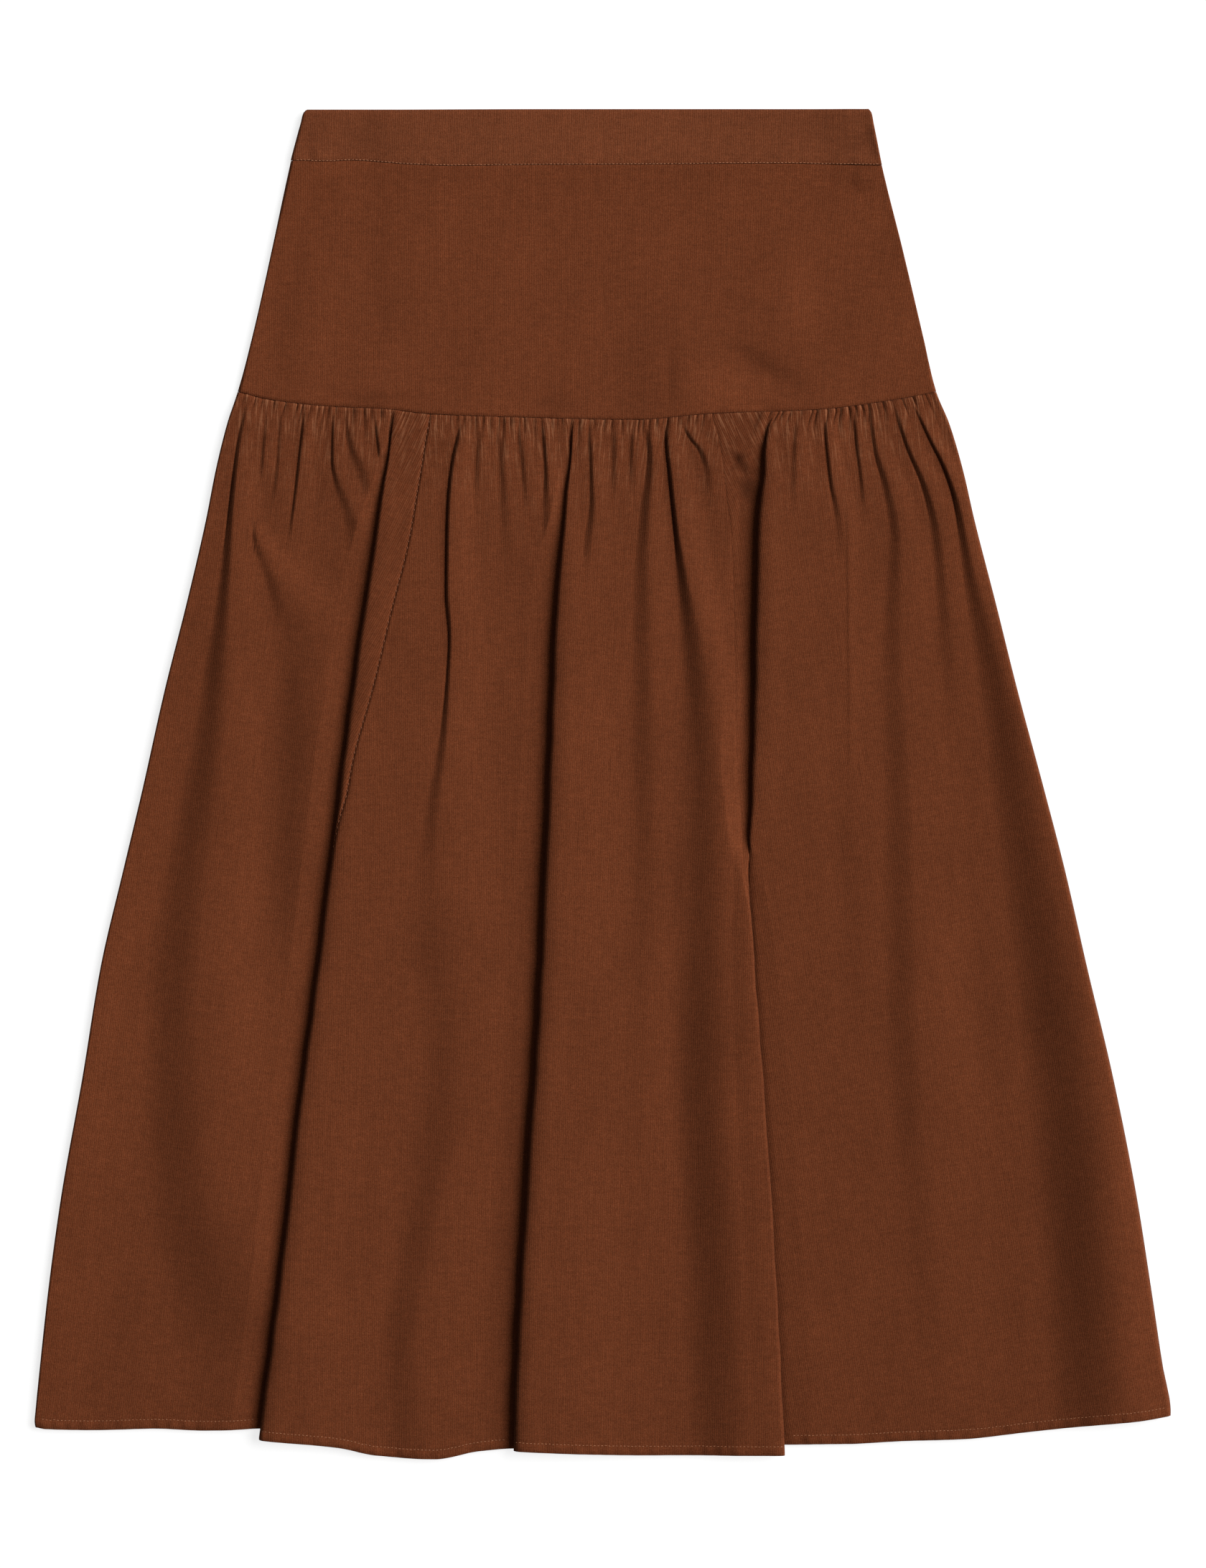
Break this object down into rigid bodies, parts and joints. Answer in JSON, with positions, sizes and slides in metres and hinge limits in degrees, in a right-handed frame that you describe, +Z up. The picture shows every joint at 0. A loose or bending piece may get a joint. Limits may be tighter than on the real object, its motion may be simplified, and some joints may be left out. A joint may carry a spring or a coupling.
{
  "type": "a-line skirt",
  "caption": "Midi-length A-line needlecord skirt laid flat: plain waistband, fitted hip yoke and a gathered tier of gores with deep soft folds and a stitched hem.",
  "frame": {"origin": "under the middle of the bounding box, on the surface the skirt lies on", "axes": "+Z up off the surface through the skirt's front, +Y from the hem to the waist, +X across to the wearer's left"},
  "size_m": [0.7269, 0.8638, 0.0093],
  "materials": {
    "needlecord": "fine-rib cotton cord, soft matt nap",
    "zip_tape": "woven polyester tape, matt"
  },
  "bodies": {
    "root": {"waistband_back": "needlecord", "yoke_back": "needlecord", "tier_back": "needlecord", "side_zip": "zip_tape", "waistband_front": "needlecord", "yoke_front": "needlecord", "tier_front_left": "needlecord", "tier_front_centre": "needlecord", "tier_front_right": "needlecord"}
  },
  "joints": []
}
